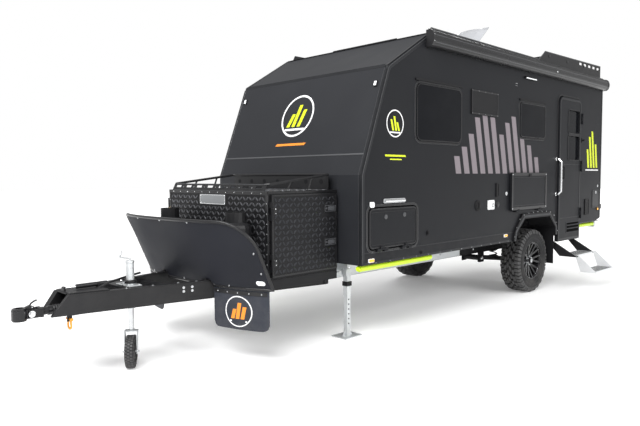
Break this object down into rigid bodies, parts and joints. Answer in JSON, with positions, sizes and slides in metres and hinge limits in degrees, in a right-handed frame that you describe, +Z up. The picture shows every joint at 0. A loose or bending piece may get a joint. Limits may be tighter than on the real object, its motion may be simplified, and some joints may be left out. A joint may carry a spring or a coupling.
{
  "type": "hybrid caravan",
  "caption": "Off-road hybrid caravan with sloping front, drawbar toolbox, curved stone guard, folding steps, wound-in awning and roof rack, parked on jockey wheel and steady legs.",
  "frame": {"origin": "on the ground under the middle of the overall box", "axes": "+X towards the coupling, +Y to the kerb side with the entry door, +Z up"},
  "size_m": [8.2939, 2.5879, 3.1974],
  "materials": {
    "charcoal_skin": "satin charcoal skin",
    "black_coat": "black powder coat",
    "black_chequer_plate": "black chequer plate",
    "galvanised_steel": "galvanised",
    "bright_steel": "bright",
    "tyre_rubber": "matt",
    "flap_rubber": "matt",
    "black_alloy": "gloss black",
    "tinted_acrylic": "dark tinted",
    "signal_yellow": "satin",
    "orange_coat": "satin",
    "white_plastic": "satin",
    "interior_board": "laminate",
    "guard_sheet": "matt"
  },
  "bodies": {
    "caravan": {"arch_trim_left": "flap_rubber", "arch_trim_right": "flap_rubber", "awning_cassette": "black_coat", "chassis_frame": "galvanised_steel", "coupling": "black_coat", "drawbar": "black_coat", "floor_pan": "interior_board", "front_flap_left": "flap_rubber", "front_flap_right": "flap_rubber", "front_lower_panel": "charcoal_skin", "front_upper_panel": "charcoal_skin", "furniture": "interior_board", "gas_bottle_left": "black_coat", "gas_bottle_right": "black_coat", "grab_handle": "bright_steel", "jockey_tube": "galvanised_steel", "mesh_vent": "black_coat", "rear_bar": "black_coat", "rear_panel": "charcoal_skin", "roof_fairing": "black_coat", "roof_panel": "charcoal_skin", "roof_rack": "black_coat", "roof_vent_frame": "white_plastic", "safety_shackle": "orange_coat", "side_rail_left": "signal_yellow", "side_rail_right": "signal_yellow", "spare_wheel": "tyre_rubber", "stone_guard": "guard_sheet", "suspension_left": "black_coat", "suspension_right": "black_coat", "toolbox": "black_chequer_plate", "toolbox_rack": "black_coat", "wall_left": "charcoal_skin", "wall_right": "charcoal_skin", "window_left_front": "tinted_acrylic", "window_left_rear": "tinted_acrylic", "window_right_front": "tinted_acrylic", "window_right_rear": "tinted_acrylic"},
    "wheel_left": {"tyre_left": "tyre_rubber", "rim_left": "black_alloy"},
    "wheel_right": {"tyre_right": "tyre_rubber", "rim_right": "black_alloy"},
    "door": {"entry_door": "charcoal_skin", "door_window": "tinted_acrylic"},
    "hatch_left": {"boot_hatch_left": "charcoal_skin"},
    "hatch_right": {"boot_hatch_right": "charcoal_skin"},
    "table": {"picnic_table": "black_coat"},
    "tool_door_left": {"toolbox_door_left": "black_chequer_plate"},
    "tool_door_right": {"toolbox_door_right": "black_chequer_plate"},
    "vent_lid": {"roof_vent_lid": "white_plastic"},
    "upper_step": {"step_upper": "white_plastic"},
    "lower_step": {"step_lower": "white_plastic"},
    "steady_front_left": {"front_steady_left": "galvanised_steel"},
    "steady_front_right": {"front_steady_right": "galvanised_steel"},
    "steady_rear_left": {"rear_steady_left": "galvanised_steel"},
    "steady_rear_right": {"rear_steady_right": "galvanised_steel"},
    "jockey_inner": {"jockey_leg": "bright_steel"},
    "jockey_castor": {"jockey_fork": "galvanised_steel"},
    "jockey_roller": {"jockey_wheel": "tyre_rubber"},
    "tow_head": {"coupling_head": "black_coat"}
  },
  "joints": [
    {"name": "wheel_left_spin", "type": "hinge", "parent": "caravan", "child": "wheel_left", "pos_m": [-1.7115, 0.622, 0.4], "axis": [0, 1, 0], "continuous": true},
    {"name": "wheel_right_spin", "type": "hinge", "parent": "caravan", "child": "wheel_right", "pos_m": [-1.7115, -1.093, 0.4], "axis": [0, 1, 0], "continuous": true},
    {"name": "door_hinge", "type": "hinge", "parent": "caravan", "child": "door", "pos_m": [-2.9635, 0.8295, 1.6], "axis": [0, 0, 1], "range_deg": [0, 110]},
    {"name": "hatch_left_hinge", "type": "hinge", "parent": "caravan", "child": "hatch_left", "pos_m": [1.19, 0.8155, 0.828], "axis": [-1, 0, 0], "range_deg": [0, 90]},
    {"name": "hatch_right_hinge", "type": "hinge", "parent": "caravan", "child": "hatch_right", "pos_m": [1.19, -1.2865, 0.828], "axis": [1, 0, 0], "range_deg": [0, 90]},
    {"name": "table_hinge", "type": "hinge", "parent": "caravan", "child": "table", "pos_m": [-1.429, 0.832, 1.055], "axis": [-1, 0, 0], "range_deg": [0, 90]},
    {"name": "tool_door_left_hinge", "type": "hinge", "parent": "caravan", "child": "tool_door_left", "pos_m": [2.4255, 0.5423, 1], "axis": [0, 0, -1], "range_deg": [0, 90]},
    {"name": "tool_door_right_hinge", "type": "hinge", "parent": "caravan", "child": "tool_door_right", "pos_m": [2.4255, -1.0133, 1], "axis": [0, 0, 1], "range_deg": [0, 90]},
    {"name": "vent_lid_hinge", "type": "hinge", "parent": "caravan", "child": "vent_lid", "pos_m": [-0.5505, 0.3645, 2.9033], "axis": [0, 1, 0], "range_deg": [-42, 5]},
    {"name": "upper_step_hinge", "type": "hinge", "parent": "caravan", "child": "upper_step", "pos_m": [-2.6115, 0.6645, 0.62], "axis": [-1, 0, 0], "range_deg": [0, 100]},
    {"name": "lower_step_hinge", "type": "hinge", "parent": "upper_step", "child": "lower_step", "pos_m": [-2.6115, 1.0495, 0.43], "axis": [1, 0, 0], "range_deg": [0, 141]},
    {"name": "steady_front_left_hinge", "type": "hinge", "parent": "caravan", "child": "steady_front_left", "pos_m": [1.4755, 0.4795, 0.64], "axis": [0, 1, 0], "range_deg": [0, 90]},
    {"name": "steady_front_right_hinge", "type": "hinge", "parent": "caravan", "child": "steady_front_right", "pos_m": [1.4755, -0.9505, 0.64], "axis": [0, 1, 0], "range_deg": [0, 90]},
    {"name": "steady_rear_left_hinge", "type": "hinge", "parent": "caravan", "child": "steady_rear_left", "pos_m": [-2.9915, 0.4795, 0.64], "axis": [0, -1, 0], "range_deg": [0, 90]},
    {"name": "steady_rear_right_hinge", "type": "hinge", "parent": "caravan", "child": "steady_rear_right", "pos_m": [-2.9915, -0.9505, 0.64], "axis": [0, -1, 0], "range_deg": [0, 90]},
    {"name": "jockey_slide", "type": "slide", "parent": "caravan", "child": "jockey_inner", "axis": [0, 0, 1], "range_m": [0, 0.16]},
    {"name": "jockey_swivel", "type": "hinge", "parent": "jockey_inner", "child": "jockey_castor", "pos_m": [3.3085, -0.1255, 0.29], "axis": [0, 0, 1], "continuous": true},
    {"name": "jockey_spin", "type": "hinge", "parent": "jockey_castor", "child": "jockey_roller", "pos_m": [3.33005, -0.09792, 0.1275], "axis": [0.788, -0.6157, 0], "continuous": true},
    {"name": "tow_head_pivot", "type": "hinge", "parent": "caravan", "child": "tow_head", "pos_m": [4.0235, -0.2355, 0.52], "axis": [0, 1, 0], "range_deg": [-25, 25]}
  ],
  "couplings": [
    {"joint": "lower_step_hinge", "follows": "upper_step_hinge", "ratio": 1.4}
  ]
}
